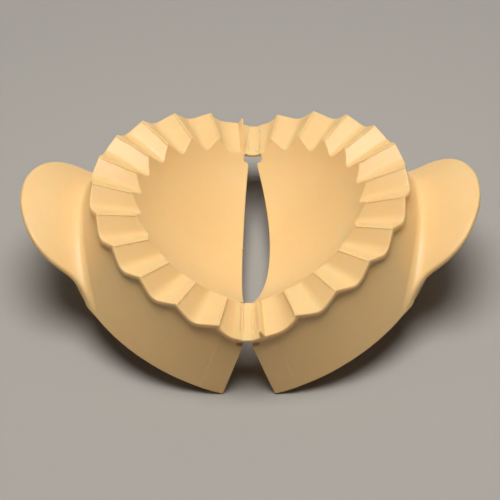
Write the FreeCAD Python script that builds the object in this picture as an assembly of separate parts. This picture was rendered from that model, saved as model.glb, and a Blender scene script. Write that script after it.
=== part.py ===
"""Hand-folded pastry press in the half-open pose of the reference view.

Two half presses fold upward about film hinges on both sides of two short
straps.  Each half is a half bowl, a fluted crimping rim, a conical skirt wall
and a domed paddle handle.  Lengths are in millimetres.

A half is built flat, as it is moulded: u points outward from the middle
plane, v to the back and w up, with w = 0 on the flute crests.  It is then
folded up by REST_FOLD about its own hinge line and set on the floor.
"""
import FreeCAD
import Part
import os
import math

os.makedirs("parts", exist_ok=True)
V = FreeCAD.Vector

# ---------------------------------------------------------------- dimensions
RIM_R = 55.0            # outer radius of the crimping rim
HALF_SHIFT = 1.31       # each half's rim centre lies this far outside the middle
HINGE_X = 2.05          # fold line, from the middle plane
HINGE_W = -3.5          # fold line, below the flute crests
REST_FOLD = 20.34       # how far each half is folded up at rest, degrees

PITCH = 15.294          # flute pitch, degrees
FIRST_RIDGE = 9.78      # first ridge from the back strap, degrees
RIDGES = 11
CREST_HALF = 0.5        # half width of a crest flat, degrees
VALLEY_HALF = 2.2       # half width of the rounded valley, degrees
FLUTE_H = 3.6           # crest to valley
SHEET = 1.45            # rim sheet, measured along w
END_VALLEY_W = -3.1     # valley floor beside the straps
END_FLANK = ((3.7, -2.5), (5.0, END_VALLEY_W))   # ridge flank down to that floor
RIB_A = 175.8           # narrow locating rib on the valley floor, front strap
RIB_HALF = 1.15
RIB_FLAT = 0.15
RIB_TOP = -0.25

BOWL_RIM_R = 41.0       # inner bowl radius at the crests
BOWL_RIM_W = -0.4
BOWL_SLOPE = 46.0       # wall slope at the rim, degrees
BOWL_R1 = 40.0          # profile radius next to the rim
BOWL_R1_END = 30.0      # slope where the flatter bottom arc takes over
BOWL_T = 1.4
NOTCH_U = 2.9           # bowl and rim clear the straps by this notch
NOTCH_V = 35.6
SPLIT_RIGHT = (1.87, -0.000909)     # bowl edge, u = a + b v^2
SPLIT_LEFT = (-1.51, 0.001818)

SKIRT_W = -26.67        # lower edge of the skirt
SKIRT_R_LOW = 57.04     # outer radius there
SKIRT_DRAFT = 0.149     # outward growth per mm downward
SKIRT_T = 1.4
SKIRT_U = 0.23          # split edge of the skirt
SKIRT_NOTCH_U = 2.3     # notch under the strap
SKIRT_NOTCH_W = -7.0

STRAP_HALF = 1.3        # land between the two film hinges
STRAP_TOP = -2.9
STRAP_BOTTOM = -4.1
STRAP_R_IN = 38.1
STRAP_R_OUT = 55.4
FILM_OUT = 2.8          # outer edge of the film hinge
FILM_T = 0.5
FILM_PAD_IN = 41.2      # the recess of the film hinge runs between these radii
FILM_PAD_OUT = 51.7

HANDLE_T = 1.5
HANDLE_MID_U = 60.5     # handle surface: w = A + B(u-m) + E(u-m)^2 + K v^2
HANDLE_A = -14.04
HANDLE_B = 0.213
HANDLE_E = -0.0111
HANDLE_K = -0.007487
HANDLE_CENTRE_U = 52.25
HANDLE_RHO = (24.98, 25.18, 25.53, 26.47, 27.22, 27.49, 28.88, 34.0)
HANDLE_PHI = (0.0, 0.2625, 0.525, 0.7875, 1.05, 1.3125, 1.575, 1.76)

FOLD = math.radians(REST_FOLD)
FLOOR = -(HINGE_W + (SKIRT_U - HINGE_X) * math.sin(FOLD)
          + (SKIRT_W - HINGE_W) * math.cos(FOLD))


# ------------------------------------------------------------------- helpers
def polar(r, a, w):
    """Point of a half; a is measured from the back strap."""
    return V(HALF_SHIFT + r * math.sin(math.radians(a)),
             r * math.cos(math.radians(a)), w)


def sheet_top(a):
    """Height of the fluted surface at the angle a, without the rib."""
    ridges = [FIRST_RIDGE + k * PITCH for k in range(RIDGES)]
    d = min(abs(a - r) for r in ridges)
    if d <= CREST_HALF:
        return 0.0
    if a < ridges[0] or a > ridges[-1]:
        (d1, w1), (d2, w2) = END_FLANK
        if d <= d1:
            return w1 * (d - CREST_HALF) / (d1 - CREST_HALF)
        return w1 + (w2 - w1) * min(1.0, (d - d1) / (d2 - d1))
    b = PITCH / 2 - d
    run = PITCH / 2 - CREST_HALF
    c = FLUTE_H / (VALLEY_HALF ** 2 + 2 * VALLEY_HALF * (run - VALLEY_HALF))
    if b <= VALLEY_HALF:
        return -FLUTE_H + c * b * b
    return -FLUTE_H + c * VALLEY_HALF ** 2 + 2 * c * VALLEY_HALF * (b - VALLEY_HALF)


def wave(a):
    """Height of the fluted surface at the angle a."""
    w, t = sheet_top(a), abs(a - RIB_A)
    if t < RIB_HALF:
        share = min(1.0, (RIB_HALF - t) / (RIB_HALF - RIB_FLAT))
        w += (RIB_TOP - w) * share
    return w


def stations():
    """Angles at which the fluted surface has a ruling."""
    out = [-8.0, 0.0]
    for k in range(RIDGES):
        r = FIRST_RIDGE + k * PITCH
        if k == 0:
            out += [r - d for d, w in END_FLANK]
        out += [r - CREST_HALF, r + CREST_HALF]
        m = r + PITCH / 2
        if k < RIDGES - 1:
            out += [m - VALLEY_HALF, m - VALLEY_HALF / 2, m,
                    m + VALLEY_HALF / 2, m + VALLEY_HALF]
        else:
            out += [r + d for d, w in END_FLANK]
    out += [RIB_A - RIB_HALF, RIB_A - RIB_FLAT, RIB_A + RIB_FLAT, RIB_A + RIB_HALF, 188.0]
    return sorted(out)


def under(a):
    """Height of the underside of the rim sheet."""
    return sheet_top(a) - SHEET


def radial_block(top, bottom, r0=24.0, r1=64.0):
    """Solid between two radially ruled surfaces."""
    sts = stations()
    faces = []

    def line(r_a, a, w):
        return Part.makeLine(polar(r_a[0], a, w), polar(r_a[1], a, w))

    def quad(p, q, r, s):
        return Part.Face(Part.makePolygon([p, q, r, s, p]))

    for a, b in zip(sts[:-1], sts[1:]):
        for f in (top, bottom):
            wa, wb = f(a), f(b)
            if abs(wa - wb) < 1e-9:
                faces.append(quad(polar(r0, a, wa), polar(r1, a, wa),
                                  polar(r1, b, wb), polar(r0, b, wb)))
            else:
                faces.append(Part.makeRuledSurface(line((r0, r1), a, wa),
                                                   line((r0, r1), b, wb)))
        for r in (r0, r1):
            faces.append(quad(polar(r, a, bottom(a)), polar(r, b, bottom(b)),
                              polar(r, b, top(b)), polar(r, a, top(a))))
    for a in (sts[0], sts[-1]):
        faces.append(quad(polar(r0, a, bottom(a)), polar(r1, a, bottom(a)),
                          polar(r1, a, top(a)), polar(r0, a, top(a))))
    shell = Part.makeShell(faces)
    shell.sewShape()
    solid = Part.Solid(Part.Shell(shell.Faces))
    if solid.Volume < 0:
        solid.reverse()
    return solid


def revolve(points_and_arcs):
    """Solid of revolution about the half's own centre line."""
    wire = Part.Wire(points_and_arcs)
    face = Part.Face(wire)
    return face.revolve(V(HALF_SHIFT, 0, 0), V(0, 0, 1), 360)


def rz(r, w):
    return V(HALF_SHIFT + r, 0, w)


def slope_point(centre, radius, deg):
    return rz(centre[0] + radius * math.sin(math.radians(deg)),
              centre[1] - radius * math.cos(math.radians(deg)))


def bowl_profile(extra):
    """Edges of the bowl profile, offset outward by extra, from the axis up."""
    s0, s1 = math.radians(BOWL_SLOPE), math.radians(BOWL_R1_END)
    c1 = (BOWL_RIM_R - BOWL_R1 * math.sin(s0), BOWL_RIM_W + BOWL_R1 * math.cos(s0))
    j = (c1[0] + BOWL_R1 * math.sin(s1), c1[1] - BOWL_R1 * math.cos(s1))
    r2 = j[0] / math.sin(s1)
    c2 = (0.0, j[1] + r2 * math.cos(s1))
    a = BOWL_R1 + extra
    b = r2 + extra
    p0 = slope_point(c2, b, 0)
    p1 = slope_point(c2, b, BOWL_R1_END / 2)
    p2 = slope_point(c2, b, BOWL_R1_END)
    p3 = slope_point(c1, a, (BOWL_R1_END + BOWL_SLOPE) / 2)
    p4 = slope_point(c1, a, BOWL_SLOPE)
    up = 4.0
    p5 = V(p4.x + up / math.tan(s0), 0, p4.z + up)
    return [Part.Arc(p0, p1, p2).toShape(), Part.Arc(p2, p3, p4).toShape(),
            Part.makeLine(p4, p5)], p0, p5


def bowl_volume(extra):
    """Everything inside the bowl surface offset by extra."""
    edges, p0, p5 = bowl_profile(extra)
    top = rz(0, p5.z)
    return revolve(edges + [Part.makeLine(p5, top), Part.makeLine(top, p0)])


def keep_right(a, b, lim=70.0, far=90.0):
    """Prism of everything beyond the curved split line u = a + b v^2."""
    n = 16
    pts = [V(a + b * (lim * (2.0 * i / n - 1)) ** 2, lim * (2.0 * i / n - 1), -60)
           for i in range(n + 1)]
    curve = Part.BSplineCurve()
    curve.interpolate(pts)
    e = curve.toShape()
    p, q = V(far, lim, -60), V(far, -lim, -60)
    wire = Part.Wire([e, Part.makeLine(pts[-1], p), Part.makeLine(p, q),
                      Part.makeLine(q, pts[0])])
    return Part.Face(wire).extrude(V(0, 0, 120))


def box(x0, x1, y0, y1, z0, z1):
    return Part.makeBox(x1 - x0, y1 - y0, z1 - z0, V(x0, y0, z0))


def largest(shape):
    """The main solid of a boolean result."""
    solids = sorted(shape.Solids, key=lambda s: s.Volume)
    if len(solids) > 1:
        print("  kept the largest of", len(solids), "solids:",
              [round(s.Volume, 2) for s in solids])
    return solids[-1]


# ----------------------------------------------------------- parts of a half
def make_bowl(split):
    above = radial_block(lambda a: 12.0, wave)
    shell = bowl_volume(BOWL_T).cut(bowl_volume(0.0))
    shell = shell.common(box(-20, 80, -70, 70, -40, 8))
    shell = shell.common(keep_right(*split))
    shell = shell.cut(above)
    for sgn in (1, -1):
        y = sorted((sgn * NOTCH_V, sgn * 60.0))
        shell = shell.cut(box(-20, NOTCH_U, y[0], y[1], -7.5, 12))
    return largest(shell)


def make_rim():
    sheet = radial_block(wave, under)
    cyl = Part.makeCylinder(RIM_R, 60, V(HALF_SHIFT, 0, -40), V(0, 0, 1))
    rim = sheet.common(cyl)
    rim = rim.cut(bowl_volume(BOWL_T))
    rim = rim.common(box(FILM_OUT, 80, -70, 70, -40, 20))
    return largest(rim)


def make_skirt():
    r_low = SKIRT_R_LOW
    top = 2.0
    r_top = r_low - SKIRT_DRAFT * (top - SKIRT_W)
    p = [rz(r_low, SKIRT_W), rz(r_top, top), rz(r_top - SKIRT_T, top),
         rz(r_low - SKIRT_T, SKIRT_W)]
    wire = Part.makePolygon(p + [p[0]])
    wall = Part.Face(wire).revolve(V(HALF_SHIFT, 0, 0), V(0, 0, 1), 360)
    wall = wall.common(box(SKIRT_U, 90, -70, 70, -40, 20))
    wall = wall.cut(radial_block(lambda a: 12.0, under))
    wall = wall.cut(box(-5, SKIRT_NOTCH_U, -70, 70, SKIRT_NOTCH_W, 20))
    return largest(wall)


def skirt_core():
    """Everything inside the outer surface of the skirt."""
    r_top = SKIRT_R_LOW - SKIRT_DRAFT * (5.0 - SKIRT_W)
    r_bot = SKIRT_R_LOW + SKIRT_DRAFT * (-40.0 - SKIRT_W) * -1.0
    p = [rz(0, -40), rz(r_bot, -40), rz(r_top, 5), rz(0, 5)]
    return Part.Face(Part.makePolygon(p + [p[0]])).revolve(
        V(HALF_SHIFT, 0, 0), V(0, 0, 1), 360)


def handle_w(u, v):
    d = u - HANDLE_MID_U
    return HANDLE_A + HANDLE_B * d + HANDLE_E * d * d + HANDLE_K * v * v


def handle_outline():
    """Closed outline of the paddle, seen from above."""
    pts = []
    for phi, rho in reversed(list(zip(HANDLE_PHI, HANDLE_RHO))):
        pts.append((HANDLE_CENTRE_U + rho * math.cos(phi), -rho * math.sin(phi)))
    for phi, rho in list(zip(HANDLE_PHI, HANDLE_RHO))[1:]:
        pts.append((HANDLE_CENTRE_U + rho * math.cos(phi), rho * math.sin(phi)))
    return pts


def make_handle():
    def surface(drop):
        rows = []
        for i in range(9):
            u = 36.0 + i * (84.0 - 36.0) / 8
            rows.append([V(u, v, handle_w(u, v) - drop)
                         for v in [-44 + 88.0 * j / 8 for j in range(9)]])
        s = Part.BSplineSurface()
        s.interpolate(rows)
        return s.toShape()

    top, bot = surface(0.0), surface(HANDLE_T)
    faces = [top, bot]
    for et, eb in zip(top.OuterWire.Edges, bot.OuterWire.Edges):
        faces.append(Part.makeRuledSurface(et, eb))
    shell = Part.makeShell([f for f in faces])
    shell.sewShape()
    slab = Part.Solid(Part.Shell(shell.Faces))
    if slab.Volume < 0:
        slab.reverse()
    pts = [V(u, v, -50) for u, v in handle_outline()]
    curve = Part.BSplineCurve()
    curve.interpolate(pts)
    wire = Part.Wire([curve.toShape(), Part.makeLine(pts[-1], pts[0])])
    prism = Part.Face(wire).extrude(V(0, 0, 70))
    return largest(slab.common(prism).cut(skirt_core()))


# -------------------------------------------------------------------- hinges
def make_strap():
    """Land of the rear strap; the front one is the same turned half round."""
    ring = Part.makeCylinder(STRAP_R_OUT, 1.2, V(0, 0, STRAP_BOTTOM)).cut(
        Part.makeCylinder(STRAP_R_IN, 1.2, V(0, 0, STRAP_BOTTOM)))
    return largest(ring.common(box(-STRAP_HALF, STRAP_HALF, 10, 70, -10, 0)))


def make_film():
    """Film hinge on the +x side of the rear strap."""
    z0, z1 = HINGE_W - FILM_T / 2, HINGE_W + FILM_T / 2
    ring = Part.makeCylinder(STRAP_R_OUT, z1 - z0, V(0, 0, z0)).cut(
        Part.makeCylinder(STRAP_R_IN, z1 - z0, V(0, 0, z0)))

    def end_x(z):
        """Edge face of the folded rim, less a hair of clearance."""
        reach = (FILM_OUT - HINGE_X) / math.cos(FOLD)
        return HINGE_X + reach - (z - HINGE_W) * math.tan(FOLD) - 0.02

    side = [V(STRAP_HALF, 10, z0), V(end_x(z0), 10, z0), V(end_x(z1), 10, z1),
            V(STRAP_HALF, 10, z1)]
    prism = Part.Face(Part.makePolygon(side + [side[0]])).extrude(V(0, 60, 0))
    web = ring.common(prism)
    pads = Part.makeCylinder(STRAP_R_OUT, STRAP_TOP - z1, V(0, 0, z1)).cut(
        Part.makeCylinder(STRAP_R_IN, STRAP_TOP - z1, V(0, 0, z1)))
    pads = pads.common(box(STRAP_HALF + 0.35, FILM_OUT - 0.35, 10, 70, -10, 0))
    pads = pads.cut(box(-5, 5, FILM_PAD_IN, FILM_PAD_OUT, -10, 0))
    return largest(web.fuse(pads).removeSplitter())


# ------------------------------------------------------------------ assembly
def turned(shape):
    s = shape.copy()
    s.rotate(V(0, 0, 0), V(0, 0, 1), 180)
    return s


def folded(shape, side):
    s = shape.copy()
    s.rotate(V(side * HINGE_X, 0, HINGE_W), V(0, -side, 0), REST_FOLD)
    return s


def placed(shape):
    s = shape.copy()
    s.translate(V(0, 0, FLOOR))
    return s


def main():
    parts = {}
    rim, skirt, handle = make_rim(), make_skirt(), make_handle()
    parts["right_bowl"] = folded(make_bowl(SPLIT_RIGHT), 1)
    parts["right_crimping_rim"] = folded(rim, 1)
    parts["right_skirt_wall"] = folded(skirt, 1)
    parts["right_handle"] = folded(handle, 1)
    parts["left_bowl"] = folded(turned(make_bowl(SPLIT_LEFT)), -1)
    parts["left_crimping_rim"] = folded(turned(rim), -1)
    parts["left_skirt_wall"] = folded(turned(skirt), -1)
    parts["left_handle"] = folded(turned(handle), -1)
    strap, film = make_strap(), make_film()
    mirrored = film.mirror(V(0, 0, 0), V(1, 0, 0))
    parts["rear_hinge_strap"] = strap
    parts["front_hinge_strap"] = turned(strap)
    parts["rear_right_film_hinge"] = film
    parts["rear_left_film_hinge"] = mirrored
    parts["front_left_film_hinge"] = turned(film)
    parts["front_right_film_hinge"] = turned(mirrored)
    for name, shape in parts.items():
        s = placed(shape)
        bb = s.BoundBox
        print("%-24s valid %s closed %s solids %d faces %d vol %.2f cm3  x %.2f..%.2f y %.2f..%.2f z %.2f..%.2f" % (
            name, s.isValid(), s.isClosed(), len(s.Solids), len(s.Faces),
            s.Volume / 1000, bb.XMin, bb.XMax, bb.YMin, bb.YMax, bb.ZMin, bb.ZMax))
        s.exportStep("parts/%s.step" % name)
    print("floor offset %.4f" % FLOOR)


main()
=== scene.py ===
"""Looks of a hand-folded pastry press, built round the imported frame.

Each half is one seamless moulding: half bowl, fluted rim, flared wall and
paddle handle.  It is described by a solid function in the half's own flat
position (u outward, v to the back, w up, in millimetres), with rounded edges
and filleted roots, and is meshed here by dual contouring, so that creases
stay crisp.  The straps and the film hinges between the halves are lofted
sheets.  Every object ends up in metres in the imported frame.
"""
import bpy
import math
import numpy as np
from mathutils import Matrix, Vector


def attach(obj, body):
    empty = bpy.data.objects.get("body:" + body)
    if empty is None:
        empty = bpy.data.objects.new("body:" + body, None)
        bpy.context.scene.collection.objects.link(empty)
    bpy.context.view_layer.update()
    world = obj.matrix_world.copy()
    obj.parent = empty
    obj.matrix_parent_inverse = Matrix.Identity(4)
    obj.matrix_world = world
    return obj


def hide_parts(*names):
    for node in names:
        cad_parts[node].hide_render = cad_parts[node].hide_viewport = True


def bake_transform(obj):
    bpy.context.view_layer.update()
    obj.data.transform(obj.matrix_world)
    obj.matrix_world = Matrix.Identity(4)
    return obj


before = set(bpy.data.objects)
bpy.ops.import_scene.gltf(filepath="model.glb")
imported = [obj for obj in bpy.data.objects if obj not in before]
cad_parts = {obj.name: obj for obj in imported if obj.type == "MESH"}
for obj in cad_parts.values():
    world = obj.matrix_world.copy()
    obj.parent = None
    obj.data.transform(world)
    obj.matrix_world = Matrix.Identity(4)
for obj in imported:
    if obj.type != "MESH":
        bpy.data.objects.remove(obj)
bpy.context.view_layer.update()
MM = 0.001

# ------------------------------------------------------------ shape, in mm
RIM_R = 55.0
HALF_SHIFT = 1.31
HINGE_X = 2.05
HINGE_W = -3.5
FOLD = math.radians(20.34)
FLOOR = 25.8579

PITCH = 15.294
FIRST_RIDGE = 9.78
RIDGES = 11
VALLEY_HALF = 2.4
DEPTHS = (3.06, 3.25, 3.38, 3.45, 3.5, 3.5, 3.45, 3.38, 3.25, 3.06)
BEAD_HALF, APEX = 0.50, 0.06
SHEET = 1.45
END_VALLEY_W = -2.76
# floors beside the straps: without the rib (angles from the back) and with it
FLOOR_A = ((0.0, -2.76), (2.0, -2.72), (4.2, -2.70), (5.0, -2.56), (6.0, -2.30),
           (7.0, -1.88), (8.0, -1.44), (9.0, -0.94))
FLOOR_B = ((163.5, -0.85), (164.4, -1.45), (165.4, -2.02), (166.4, -2.50), (167.4, -2.86),
           (168.4, -3.05), (169.6, -3.12), (171.0, -3.10), (172.4, -2.98), (174.0, -2.84),
           (175.8, -2.78), (178.0, -2.76))
RIB_A, RIB_HALF, RIB_FLAT, RIB_TOP = 175.8, 0.88, 0.32, -0.33

STRAP_BULGE = 0.33

BOWL_RIM_R = 41.0
BOWL_RIM_W = -0.4
BOWL_R1 = 40.0
BOWL_T = 1.4
NOTCH_V = 36.2
SPLIT_RIGHT = (1.87, -0.000909)
SPLIT_LEFT = (-1.51, 0.001818)

SKIRT_W = -26.67
SKIRT_R_LOW = 57.04
SKIRT_DRAFT = 0.149
SKIRT_T = 1.4
SKIRT_U = 0.23
SKIRT_NOTCH_U = 2.7
SKIRT_NOTCH_W = -6.5

STRAP_HALF = 1.3
STRAP_TOP = -3.02
STRAP_BOTTOM = -4.1
STRAP_IN, STRAP_OUT = 38.2, 55.22
FILM_OUT = 2.8
GROOVE_IN = 41.2
GROOVE_OUT = 51.9

HANDLE_T = 1.75
HANDLE_MID_U = 60.5
HANDLE_A = -13.6
HANDLE_B = 0.213
HANDLE_E = -0.0111
HANDLE_K = -0.007487
HANDLE_CENTRE_U = 52.25
HANDLE_RHO = (25.05, 25.3, 25.85, 26.8, 27.4, 27.3, 29.3, 36.0)
HANDLE_PHI = (0.0, 0.2625, 0.525, 0.7875, 1.05, 1.3125, 1.575, 1.76)


def outer(a, b, r):
    """Both solids at once, with the edge between them rounded to radius r."""
    return (np.minimum(np.maximum(a, b), -r)
            + np.hypot(np.maximum(a + r, 0.0), np.maximum(b + r, 0.0)))


def inner(a, b, r):
    """Either solid, with the root between them filleted to radius r."""
    return -outer(-a, -b, r)


def flute_height(a):
    """Height of the fluted surface at the angle a, in degrees from the back strap."""
    pos = (a - FIRST_RIDGE) / PITCH
    k = np.clip(np.floor(pos), 0, RIDGES - 2).astype(int)
    b = np.abs((pos - k) - 0.5) * PITCH
    deep = np.array(DEPTHS)[k]
    c = (deep + APEX) / (VALLEY_HALF ** 2 + 2 * VALLEY_HALF * (PITCH / 2 - VALLEY_HALF))
    w = np.where(b <= VALLEY_HALF, -deep + c * b * b,
                 -deep + c * VALLEY_HALF ** 2 + 2 * c * VALLEY_HALF * (b - VALLEY_HALF))
    last = FIRST_RIDGE + PITCH * (RIDGES - 1)
    near = np.interp(a, [p for p, q in FLOOR_A] + [FIRST_RIDGE], [q for p, q in FLOOR_A] + [-0.4])
    far = np.interp(a, [last] + [p for p, q in FLOOR_B], [-0.4] + [q for p, q in FLOOR_B])
    w = np.where(a < FIRST_RIDGE, near, np.where(a > last, far, w))
    soft = np.hanning(61)
    return np.convolve(np.pad(w, 30, mode="edge"), soft / soft.sum(), mode="valid")


def rib_height(a, w):
    """The narrow rib on the floor of the end without the first ridge."""
    share = np.clip((RIB_HALF - np.abs(a - RIB_A)) / (RIB_HALF - RIB_FLAT), 0.0, 1.0)
    return w + (RIB_TOP - w) * share


TABLE_A = np.linspace(-12.0, 200.0, 21201)
TABLE_LOW = flute_height(TABLE_A)
TABLE_W = rib_height(TABLE_A, TABLE_LOW)
TABLE_S = np.gradient(TABLE_W, TABLE_A)
TABLE_S_LOW = np.gradient(TABLE_LOW, TABLE_A)

_s0, _s1 = math.radians(46.0), math.radians(30.0)
C1 = (BOWL_RIM_R - BOWL_R1 * math.sin(_s0), BOWL_RIM_W + BOWL_R1 * math.cos(_s0))
_J = (C1[0] + BOWL_R1 * math.sin(_s1), C1[1] - BOWL_R1 * math.cos(_s1))
BOWL_R2 = _J[0] / math.sin(_s1)
C2 = (0.0, _J[1] + BOWL_R2 * math.cos(_s1))


def bowl_depth(r, w):
    """Distance below the inside of the bowl; negative in the hollow."""
    dr, dw = r - C1[0], C1[1] - w
    ang = np.arctan2(dr, dw)
    near = np.hypot(dr, dw) - BOWL_R1
    flat = np.hypot(r - C2[0], C2[1] - w) - BOWL_R2
    wall = dr * math.sin(_s0) + dw * math.cos(_s0) - BOWL_R1
    return np.where(ang <= _s1, flat, np.where(ang <= _s0, near, wall))


def spline_table():
    """The paddle's outline radius over its angle, as a fine table."""
    x, y = np.array(HANDLE_PHI), np.array(HANDLE_RHO)
    x = np.concatenate([-x[:0:-1], x])
    y = np.concatenate([y[:0:-1], y])
    n = len(x)
    h = np.diff(x)
    A = np.zeros((n, n))
    b = np.zeros(n)
    A[0, 0] = A[-1, -1] = 1.0
    for i in range(1, n - 1):
        A[i, i - 1], A[i, i], A[i, i + 1] = h[i - 1], 2 * (h[i - 1] + h[i]), h[i]
        b[i] = 6 * ((y[i + 1] - y[i]) / h[i] - (y[i] - y[i - 1]) / h[i - 1])
    m = np.linalg.solve(A, b)
    t = np.linspace(0.0, HANDLE_PHI[-1], 400)
    k = np.clip(np.searchsorted(x, t) - 1, 0, n - 2)
    dx, left, right = h[k], t - x[k], x[k + 1] - t
    val = (m[k] * right ** 3 + m[k + 1] * left ** 3) / (6 * dx)
    val += (y[k] / dx - m[k] * dx / 6) * right + (y[k + 1] / dx - m[k + 1] * dx / 6) * left
    return t, val


PHI_T, RHO_T = spline_table()
RHO_S = np.gradient(RHO_T, PHI_T)


def handle_fields(u, v, w):
    """Signed distances of the paddle's face, measured up, and of its outline."""
    d = u - HANDLE_MID_U
    face = HANDLE_A + HANDLE_B * d + HANDLE_E * d * d + HANDLE_K * v * v
    slope = np.sqrt(1.0 + (HANDLE_B + 2 * HANDLE_E * d) ** 2 + (2 * HANDLE_K * v) ** 2)
    up = (w - face) / slope
    x = u - HANDLE_CENTRE_U
    rho = np.hypot(x, v)
    phi = np.arctan2(np.abs(v), x)
    edge = np.interp(phi, PHI_T, RHO_T)
    tilt = np.interp(phi, PHI_T, RHO_S) / np.maximum(edge, 1.0)
    return up, (rho - edge) / np.sqrt(1.0 + tilt ** 2)


def half_solid(u, v, w, split, marks=()):
    """Negative inside one half of the press."""
    x = u - HALF_SHIFT
    r = np.hypot(x, v)
    a = np.degrees(np.arctan2(x, v))
    a = np.where((x < 0) & (v < 0), a + 360.0, a)

    # fluted sheet and bowl: below the crests and the bowl's face, above the undersides
    top_w = np.interp(a, TABLE_A, TABLE_W)
    steep = np.interp(a, TABLE_A, TABLE_S) * 57.29578 / np.maximum(r, 20.0)
    lean = 1.0 / np.sqrt(1.0 + steep * steep)
    above = (w - top_w) * lean
    # a narrow flat bead stands along every crest
    k = np.clip(np.round((a - FIRST_RIDGE) / PITCH), 0, RIDGES - 1)
    off = np.abs(np.sin(np.radians(a - FIRST_RIDGE - PITCH * k)) * r)
    bead = outer(off - BEAD_HALF, w, 0.08)
    above = outer(inner(above, bead, 0.06), w, 0.05)
    low_w = np.interp(a, TABLE_A, TABLE_LOW) - SHEET
    steep = np.interp(a, TABLE_A, TABLE_S_LOW) * 57.29578 / np.maximum(r, 20.0)
    lean_low = 1.0 / np.sqrt(1.0 + steep * steep)
    depth = bowl_depth(r, w)
    top = outer(above, -depth, 0.22)
    bottom = inner(depth - BOWL_T, (low_w - w) * lean_low, 1.0)
    sheet = outer(top, bottom, 0.1)
    by_strap = np.clip((np.abs(a - 90.0) - 76.0) / 8.0, 0.0, 1.0)
    rim_r = RIM_R + STRAP_BULGE * by_strap * by_strap * (3 - 2 * by_strap)
    sheet = outer(sheet, r - rim_r, 0.32)
    notch = outer(NOTCH_V - np.abs(v), u - FILM_OUT, 0.9)
    bulb = outer(outer(NOTCH_V - np.abs(v), np.abs(v) - 38.9, 1.0), u - 2.98, 1.0)
    notch = np.minimum(notch, bulb)
    near_v = np.minimum(np.abs(v), 40.0)
    gap = (split[0] + split[1] * near_v ** 2 - u) / np.sqrt(1.0 + (2 * split[1] * near_v) ** 2)
    plan = outer(gap, -notch, 0.9)
    sheet = np.where(np.abs(v) < 38.2, outer(sheet, plan, 0.38), np.maximum(sheet, plan))

    # flared wall, open at the bottom, with the paddle growing out of it
    wall = (r - SKIRT_R_LOW + SKIRT_DRAFT * (w - SKIRT_W)) * 0.989
    line = np.clip((u - 8.1) / 0.5 + 0.5, 0.0, 1.0)
    wall_out = wall + 0.10 * line
    up, edge = handle_fields(u, v, w)
    # the paddle lies nearly level along the wall, and its root runs down to the wall's foot
    # and is flatter at its rear end
    rear = np.clip((v * (1.0 if split[0] > 0 else -1.0) - 8.0) / 16.0, 0.0, 1.0)
    lift = (1.3 + 0.045 * np.abs(v)) * (1.0 - 0.75 * rear * rear * (3 - 2 * rear))
    up = up - lift * np.exp(-np.maximum(wall, 0.0) / 2.3)
    ends = np.clip((np.abs(v) - 20.0) / 12.0, 0.0, 1.0)
    thick = HANDLE_T + 1.3 * ends * np.exp(-np.maximum(wall, 0.0) / 1.6)
    paddle = outer(up, -(up + thick), HANDLE_T * 0.48)
    paddle = outer(paddle, edge, HANDLE_T * 0.42)
    body = inner(wall_out, paddle, 1.2)
    body = np.where(u > 20.0, body, wall_out)
    shell = outer(body, -(wall + SKIRT_T), 0.4)
    shell = np.maximum(shell, w - low_w - SHEET + 1.35)
    shell = outer(shell, SKIRT_W - w, 0.42)
    shell = outer(shell, SKIRT_U - u, 0.3)
    step = outer(u - SKIRT_NOTCH_U, SKIRT_NOTCH_W - w, 0.3)
    shell = outer(shell, -step, 0.3)

    solid = inner(sheet, shell, 1.5)

    # small moulding marks: a nub left on an edge, or a nick out of it
    for mu, mv, mw, mr in marks:
        ball = np.sqrt((u - mu) ** 2 + (v - mv) ** 2 + (w - mw) ** 2) - abs(mr)
        solid = inner(solid, ball, 0.15) if mr > 0 else outer(solid, -ball, 0.1)
    return solid


# --------------------------------------------------------- dual contouring
BLOCK = 8


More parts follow.
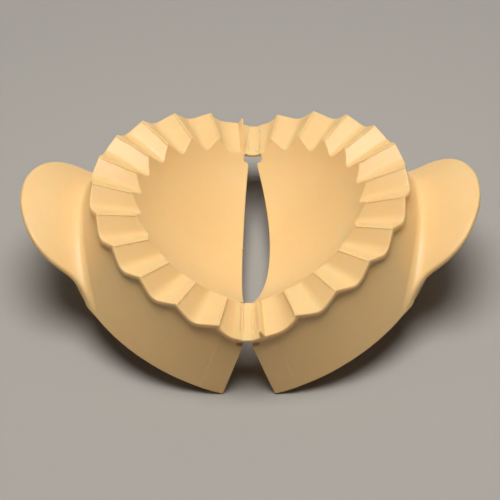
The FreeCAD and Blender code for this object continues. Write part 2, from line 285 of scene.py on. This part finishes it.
def contour(field, lo, hi, h):
    """Vertices and quads of field = 0 in the box, with its creases kept."""
    lo, hi = np.array(lo, float), np.array(hi, float)
    blocks = np.ceil((hi - lo) / (h * BLOCK)).astype(int)
    n = blocks * BLOCK
    # only blocks of the grid that the surface can reach are worked out
    mid = [lo[i] + h * (BLOCK * np.arange(blocks[i]) + (BLOCK - 1) / 2) for i in range(3)]
    X, Y, Z = np.meshgrid(*mid, indexing="ij")
    f = field(X.ravel(), Y.ravel(), Z.ravel()).reshape(X.shape)
    value = np.where(f < 0, -1.0, 1.0).astype(np.float32)
    value = value.repeat(BLOCK, 0).repeat(BLOCK, 1).repeat(BLOCK, 2)
    near = np.argwhere(np.abs(f) < 0.866 * BLOCK * h * 1.8 + 0.3)
    gx, gy, gz = np.meshgrid(*[np.arange(BLOCK)] * 3, indexing="ij")
    for i in range(0, len(near), 500):
        at = near[i:i + 500] * BLOCK
        ix = (at[:, 0, None] + gx.ravel()).ravel()
        iy = (at[:, 1, None] + gy.ravel()).ravel()
        iz = (at[:, 2, None] + gz.ravel()).ravel()
        value[ix, iy, iz] = field(lo[0] + h * ix, lo[1] + h * iy, lo[2] + h * iz)
    solid = value < 0
    cells = n - 1

    def cell_id(c):
        return (c[:, 0] * cells[1] + c[:, 1]) * cells[2] + c[:, 2]

    points, normals, rings, flips = [], [], [], []
    for ax in range(3):
        a = [slice(None)] * 3
        b = [slice(None)] * 3
        a[ax], b[ax] = slice(0, -1), slice(1, None)
        a, b = tuple(a), tuple(b)
        at = np.argwhere(solid[a] != solid[b])
        o1, o2 = (ax + 1) % 3, (ax + 2) % 3
        ok = ((at[:, o1] > 0) & (at[:, o2] > 0)
              & (at[:, o1] < cells[o1]) & (at[:, o2] < cells[o2]))
        at = at[ok]
        p0 = lo + h * at
        step = np.zeros(3)
        step[ax] = h
        inside = solid[tuple(at.T)]
        f0 = value[tuple(at.T)].astype(float)
        nxt = at.copy()
        nxt[:, ax] += 1
        f1 = value[tuple(nxt.T)].astype(float)
        t0, t1 = np.zeros(len(at)), np.ones(len(at))
        for turn in range(5):
            t = t0 + (t1 - t0) * np.clip(f0 / np.where(f0 == f1, 1e-9, f0 - f1), 0.05, 0.95)
            if turn >= 3:
                t = (t0 + t1) / 2 if turn == 3 else t
            p = p0 + t[:, None] * step
            f = field(p[:, 0], p[:, 1], p[:, 2])
            same = (f < 0) == inside
            t0, f0 = np.where(same, t, t0), np.where(same, f, f0)
            t1, f1 = np.where(same, t1, t), np.where(same, f1, f)
        t = t0 + (t1 - t0) * np.clip(f0 / np.where(f0 == f1, 1e-9, f0 - f1), 0.0, 1.0)
        p = p0 + t[:, None] * step
        g = np.empty_like(p)
        e = 0.012
        for k in range(3):
            q = p.copy()
            q[:, k] += e
            up = field(q[:, 0], q[:, 1], q[:, 2])
            q[:, k] -= 2 * e
            g[:, k] = up - field(q[:, 0], q[:, 1], q[:, 2])
        g /= np.maximum(np.linalg.norm(g, axis=1, keepdims=True), 1e-9)
        ring = np.empty((len(at), 4), np.int64)
        for k, (d1, d2) in enumerate(((-1, -1), (0, -1), (0, 0), (-1, 0))):
            c = at.copy()
            c[:, o1] += d1
            c[:, o2] += d2
            ring[:, k] = cell_id(c)
        points.append(p)
        normals.append(g)
        rings.append(ring)
        flips.append(~inside)
    points, normals = np.concatenate(points), np.concatenate(normals)
    rings, flips = np.concatenate(rings), np.concatenate(flips)
    used, where = np.unique(rings, return_inverse=True)
    where = where.reshape(rings.shape)
    m = len(used)
    count = np.bincount(where.ravel(), minlength=m).astype(float)

    def gather(x):
        return sum(np.bincount(where[:, k], weights=x, minlength=m) for k in range(4))

    mean = np.stack([gather(points[:, i]) for i in range(3)], 1) / count[:, None]
    dist = np.einsum("ij,ij->i", points, normals)
    A = np.empty((m, 3, 3))
    for i in range(3):
        for j in range(i, 3):
            A[:, i, j] = A[:, j, i] = gather(normals[:, i] * normals[:, j])
    b = np.stack([gather(normals[:, i] * dist) for i in range(3)], 1)
    b -= np.einsum("ijk,ik->ij", A, mean)
    A += 0.04 * np.eye(3)
    move = np.linalg.solve(A, b[:, :, None])[:, :, 0]
    cz = used % cells[2]
    cy = (used // cells[2]) % cells[1]
    cx = used // (cells[2] * cells[1])
    centre = lo + h * (np.stack([cx, cy, cz], 1) + 0.5)
    co = np.clip(mean + move, centre - 0.55 * h, centre + 0.55 * h)
    quads = np.where(flips[:, None], where[:, ::-1], where)
    return co, quads


def mesh_object(name, co, faces, smooth=True):
    me = bpy.data.meshes.new(name)
    co = np.asarray(co, np.float32)
    faces = np.asarray(faces, np.int32)
    k = faces.shape[1]
    me.vertices.add(len(co))
    me.vertices.foreach_set("co", co.ravel())
    me.loops.add(faces.size)
    me.loops.foreach_set("vertex_index", faces.ravel())
    me.polygons.add(len(faces))
    me.polygons.foreach_set("loop_start", np.arange(0, faces.size, k, dtype=np.int32))
    me.update(calc_edges=True)
    me.validate()
    if smooth:
        me.shade_smooth()
    ob = bpy.data.objects.new(name, me)
    bpy.context.scene.collection.objects.link(ob)
    return ob


def place(co, side):
    """Flat half coordinates to the folded half in the frame, in metres."""
    a, b = co[:, 0] - HINGE_X, co[:, 2] - HINGE_W
    x = HINGE_X + a * math.cos(FOLD) - b * math.sin(FOLD)
    z = HINGE_W + a * math.sin(FOLD) + b * math.cos(FOLD) + FLOOR
    return np.stack([side * x, side * co[:, 1], z], 1) * MM


CELL = 0.23
KEEP = 0.172


def make_half(name, side, split, marks):
    co, quads = contour(lambda u, v, w: half_solid(u, v, w, split, marks),
                        (-2.7, -57.9, -27.9), (78.6, 57.9, 1.1), CELL)
    ob = mesh_object(name, place(co, side), quads)
    if KEEP < 1.0:
        thin = ob.modifiers.new("thin", "DECIMATE")
        thin.ratio = KEEP
        dg = bpy.context.evaluated_depsgraph_get()
        me = bpy.data.meshes.new_from_object(ob.evaluated_get(dg))
        ob.modifiers.clear()
        ob.data = me
        me.shade_smooth()
    ob.data.set_sharp_from_angle(angle=math.radians(42))
    return ob


# ------------------------------------------------------------ hinge sheets
def section(top, bottom, r_in, r_out, dip, soft=0.3, n=56):
    """Closed loop (x, y, z) round a strap: top and bottom are (x, z) of its two faces."""
    rs = np.concatenate([[0.0, 0.08, 0.25], np.linspace(0.5, n - 1.5, n), [n - 1.25, n - 1.08, n - 1.0]])
    r = r_in + (r_out - r_in) * rs / (n - 1.0)
    near = np.minimum(r - r_in, r_out - r)
    ease = soft - np.sqrt(np.maximum(soft ** 2 - np.maximum(soft - near, 0.0) ** 2, 0.0))
    top, bottom = np.array(top), np.array(bottom)
    thick = np.linalg.norm(top - bottom)
    down = (bottom - top) / thick
    upper = top[None] + (ease + dip * groove_dip(r))[:, None] * down[None]
    lower = bottom[None] - ease[:, None] * down[None]
    xz = np.concatenate([upper, lower[::-1]])
    return np.stack([xz[:, 0], np.concatenate([r, r[::-1]]), xz[:, 1]], 1)


def loft(name, loops):
    """Closed skin over equal loops of points, capped at both ends."""
    m, n = len(loops), len(loops[0])
    co = np.concatenate(loops)
    faces = []
    for i in range(m - 1):
        for j in range(n):
            k = (j + 1) % n
            faces.append((i * n + j, i * n + k, (i + 1) * n + k, (i + 1) * n + j))
    half = n // 2
    for i, back in ((0, True), (m - 1, False)):
        for j in range(half - 1):
            q = (i * n + j, i * n + j + 1, i * n + n - 2 - j, i * n + n - 1 - j)
            faces.append(q[::-1] if not back else q)
    ob = mesh_object(name, co, faces)
    me = ob.data
    me.set_sharp_from_angle(angle=math.radians(50))
    return ob


def orient(ob):
    import bmesh
    bm = bmesh.new()
    bm.from_mesh(ob.data)
    bmesh.ops.recalc_face_normals(bm, faces=bm.faces)
    bm.to_mesh(ob.data)
    bm.free()


def rise(t):
    """Smooth step from 0 to 1."""
    t = np.clip(t, 0.0, 1.0)
    return t * t * (3 - 2 * t)


def groove_dip(r, soft=0.7):
    """1 in the groove's length, 0 outside, with softened ends."""
    return rise(np.minimum(r - GROOVE_IN, GROOVE_OUT - r) / soft + 0.5)


def strap_ends(x):
    """Radii of the strap's inner and outer edges at x."""
    return STRAP_IN + 0.075 * x * x, STRAP_OUT + 0.014 * x * x


def folded(u, w):
    """(x, z) of a point of the right half, folded up as at rest."""
    a, b = u - HINGE_X, w - HINGE_W
    return (HINGE_X + a * math.cos(FOLD) - b * math.sin(FOLD),
            HINGE_W + a * math.sin(FOLD) + b * math.cos(FOLD))


def to_frame(loop, side, end):
    return loop * np.array([side, end, 1.0]) * MM + np.array([0.0, 0.0, FLOOR * MM])


def make_strap(name, end):
    """Land between the two film hinges; end is +1 at the back, -1 in front."""
    loops = []
    for x in np.linspace(-STRAP_HALF, STRAP_HALF, 14):
        r_in, r_out = strap_ends(x)
        loop = section((x, STRAP_TOP), (x, STRAP_BOTTOM), r_in, r_out, 0.0)
        loops.append(to_frame(loop, 1, end))
    ob = loft(name, loops)
    orient(ob)
    return ob


def curve(p, q, slope, s):
    """Point on a bend that leaves p level and reaches q at the slope given."""
    dx = q[0] - p[0]
    z = p[1] + (q[1] - p[1]) * (3 * s * s - 2 * s ** 3) + slope * dx * (s ** 3 - s * s)
    return p[0] + dx * s, z


def make_film(name, end, side):
    """Film hinge from the land to the edge of the folded half, and a little into it."""
    top_end = folded(FILM_OUT, END_VALLEY_W + 0.015)
    low_end = folded(FILM_OUT, END_VALLEY_W - SHEET - 0.015)
    slope = math.tan(FOLD)
    loops = []
    for s in np.linspace(0.0, 1.0, 25):
        top = curve((STRAP_HALF, STRAP_TOP), top_end, slope, s)
        low = curve((STRAP_HALF, STRAP_BOTTOM), low_end, slope, s)
        r_in, r_out = strap_ends(top[0])
        dip = 0.42 * rise(s / 0.45) * rise((1.0 - s) / 0.45)
        loops.append(to_frame(section(top, low, r_in, r_out, dip), side, end))
    for u, off in ((2.86, 0.02), (2.98, 0.012), (3.12, 0.0), (3.26, -0.015), (3.42, -0.045)):
        top = folded(u, END_VALLEY_W + off)
        low = folded(u, END_VALLEY_W - SHEET - off)
        r_in = strap_ends(top_end[0])[0] - 2 * off + 0.04
        r_out = math.sqrt((RIM_R + STRAP_BULGE) ** 2 - (u - HALF_SHIFT) ** 2) + off
        loops.append(to_frame(section(top, low, r_in, r_out, 0.0), side, end))
    ob = loft(name, loops)
    orient(ob)
    return ob


# ---------------------------------------------------------------- materials
def plastic(name, tint=1.0):
    """Pale apricot polypropylene: satin, a little translucent, faintly uneven."""
    mat = bpy.data.materials.new(name)
    mat.use_nodes = True
    nt = mat.node_tree
    nt.nodes.clear()
    out = nt.nodes.new("ShaderNodeOutputMaterial")
    bsdf = nt.nodes.new("ShaderNodeBsdfPrincipled")
    coord = nt.nodes.new("ShaderNodeTexCoord")

    def noise(scale, detail, rough):
        n = nt.nodes.new("ShaderNodeTexNoise")
        n.inputs["Scale"].default_value = scale
        n.inputs["Detail"].default_value = detail
        n.inputs["Roughness"].default_value = rough
        nt.links.new(coord.outputs["Object"], n.inputs["Vector"])
        return n

    def ramp(src, stops):
        n = nt.nodes.new("ShaderNodeValToRGB")
        while len(n.color_ramp.elements) < len(stops):
            n.color_ramp.elements.new(0.5)
        for el, (pos, col) in zip(n.color_ramp.elements, stops):
            el.position, el.color = pos, col
        nt.links.new(src, n.inputs["Fac"])
        return n

    cloud = noise(28.0, 4.0, 0.55)
    tone = ramp(cloud.outputs["Fac"], [
        (0.30, (0.864 * tint, 0.588 * tint, 0.268 * tint, 1)),
        (0.55, (0.882 * tint, 0.612 * tint, 0.287 * tint, 1)),
        (0.80, (0.890 * tint, 0.630 * tint, 0.307 * tint, 1))])
    nt.links.new(tone.outputs["Color"], bsdf.inputs["Base Color"])
    patch = noise(55.0, 3.0, 0.5)
    rough = nt.nodes.new("ShaderNodeMapRange")
    rough.inputs["From Min"].default_value = 0.25
    rough.inputs["From Max"].default_value = 0.75
    rough.inputs["To Min"].default_value = 0.33
    rough.inputs["To Max"].default_value = 0.43
    nt.links.new(patch.outputs["Fac"], rough.inputs["Value"])
    nt.links.new(rough.outputs["Result"], bsdf.inputs["Roughness"])
    grain = noise(1500.0, 3.0, 0.6)
    wavy = noise(120.0, 2.0, 0.5)
    mix = nt.nodes.new("ShaderNodeMath")
    mix.operation = "MULTIPLY_ADD"
    mix.inputs[1].default_value = 0.10
    nt.links.new(grain.outputs["Fac"], mix.inputs[0])
    nt.links.new(wavy.outputs["Fac"], mix.inputs[2])
    bump = nt.nodes.new("ShaderNodeBump")
    bump.inputs["Strength"].default_value = 0.16
    bump.inputs["Distance"].default_value = 0.0003
    nt.links.new(mix.outputs["Value"], bump.inputs["Height"])
    nt.links.new(bump.outputs["Normal"], bsdf.inputs["Normal"])
    bsdf.inputs["IOR"].default_value = 1.49
    bsdf.inputs["Specular IOR Level"].default_value = 0.45
    bsdf.inputs["Subsurface Weight"].default_value = 0.6
    bsdf.inputs["Subsurface Radius"].default_value = (1.0, 0.55, 0.30)
    bsdf.inputs["Subsurface Scale"].default_value = 0.0009
    nt.links.new(bsdf.outputs["BSDF"], out.inputs["Surface"])
    return mat


body_mat = plastic("body_plastic_look")
hinge_mat = plastic("hinge_plastic_look", 0.99)
for node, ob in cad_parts.items():
    for slot in ob.material_slots:
        slot.material = hinge_mat if ("strap" in node or "film" in node) else body_mat

# ------------------------------------------------------------------- pieces
right = make_half("right_half_moulding", 1, SPLIT_RIGHT, ((0.13, -56.73, -24.6, -0.45),))
left = make_half("left_half_moulding", -1, SPLIT_LEFT, ((-1.26, -2.3, -15.76, 0.40),))
for ob, body in ((right, "right_half"), (left, "left_half")):
    ob.data.materials.clear()
    ob.data.materials.append(body_mat)
    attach(ob, body)
    s = body.split("_")[0]
    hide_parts(s + "_bowl", s + "_crimping_rim", s + "_skirt_wall", s + "_handle")

for tag, end in (("rear", 1), ("front", -1)):
    land = make_strap(tag + "_strap_land", end)
    land.data.materials.append(hinge_mat)
    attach(land, "hinge_straps")
    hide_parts(tag + "_hinge_strap")
    for hand, side in (("right", 1), ("left", -1)):
        film = make_film("%s_%s_film" % (tag, hand), end, side)
        film.data.materials.append(hinge_mat)
        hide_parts("%s_%s_film_hinge" % (tag, hand))
        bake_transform(film)

# ----------------------------------------------------------- floor and light
def floor_material():
    mat = bpy.data.materials.new("floor_look")
    mat.use_nodes = True
    b = mat.node_tree.nodes["Principled BSDF"]
    n = mat.node_tree.nodes.new("ShaderNodeTexNoise")
    n.inputs["Scale"].default_value = 6.0
    n.inputs["Detail"].default_value = 3.0
    c = mat.node_tree.nodes.new("ShaderNodeValToRGB")
    c.color_ramp.elements[0].color = (0.378, 0.362, 0.343, 1)
    c.color_ramp.elements[1].color = (0.405, 0.389, 0.369, 1)
    mat.node_tree.links.new(n.outputs["Fac"], c.inputs["Fac"])
    mat.node_tree.links.new(c.outputs["Color"], b.inputs["Base Color"])
    b.inputs["Roughness"].default_value = 0.75
    b.inputs["Specular IOR Level"].default_value = 0.25
    return mat


fl = mesh_object("floor", [(-4, -4, 0), (4, -4, 0), (4, 4, 0), (-4, 4, 0)], [(0, 1, 2, 3)], smooth=False)
fl.data.materials.append(floor_material())


def area(name, at, aim, size, power, colour):
    light = bpy.data.lights.new(name, "AREA")
    light.shape = "DISK"
    light.size = size
    light.energy = power
    light.color = colour
    ob = bpy.data.objects.new(name, light)
    bpy.context.scene.collection.objects.link(ob)
    ob.location = at
    ob.rotation_mode = "QUATERNION"
    ob.rotation_quaternion = (Vector(aim) - Vector(at)).to_track_quat("-Z", "Y")
    return ob


area("overhead", (0.0, -0.05, 0.80), (0, 0, 0.03), 0.55, 6.65, (1.0, 0.97, 0.925))
area("rear_panel", (0.0, 1.10, 0.85), (0, 0, 0.03), 1.20, 1.6, (1.0, 0.98, 0.95))
area("side_left", (-0.75, -0.05, 0.62), (0, 0, 0.03), 0.35, 0.25, (1.0, 0.97, 0.93))
area("side_right", (0.75, -0.05, 0.62), (0, 0, 0.03), 0.35, 0.25, (1.0, 0.97, 0.93))

world = bpy.data.worlds.new("studio")
bpy.context.scene.world = world
world.use_nodes = True
world.node_tree.nodes["Background"].inputs["Color"].default_value = (1.0, 0.92, 0.82, 1)
world.node_tree.nodes["Background"].inputs["Strength"].default_value = 0.04

# --------------------------------------------------------------------- camera
AZ, EL, ROLL, DIST = 0.043873, 0.729284, -0.0351213, 9.2979343
AIM = Vector((-0.0094496 * RIM_R, 0.0, -0.2664674 * RIM_R + 25.858)) * MM
d = Vector((math.sin(AZ) * math.cos(EL), -math.cos(AZ) * math.cos(EL), math.sin(EL)))
fw = -d
rt = fw.cross(Vector((0, 0, 1))).normalized()
up = rt.cross(fw)
x_axis = rt * math.cos(ROLL) + up * math.sin(ROLL)
y_axis = -rt * math.sin(ROLL) + up * math.cos(ROLL)
cam = bpy.data.cameras.new("camera")
cam.sensor_width = 36.0
cam.lens = 1483.1146 / 500.0 * 36.0
cam.clip_start, cam.clip_end = 0.01, 20.0
cam_ob = bpy.data.objects.new("camera", cam)
bpy.context.scene.collection.objects.link(cam_ob)
m = Matrix((x_axis, y_axis, d)).transposed().to_4x4()
m.translation = AIM + d * (DIST * RIM_R * MM)
cam_ob.matrix_world = m
bpy.context.scene.camera = cam_ob

view = bpy.context.scene.view_settings
view.view_transform = "Standard"
view.look = "None"
view.exposure = 0.0
view.gamma = 1.0

bpy.context.view_layer.update()
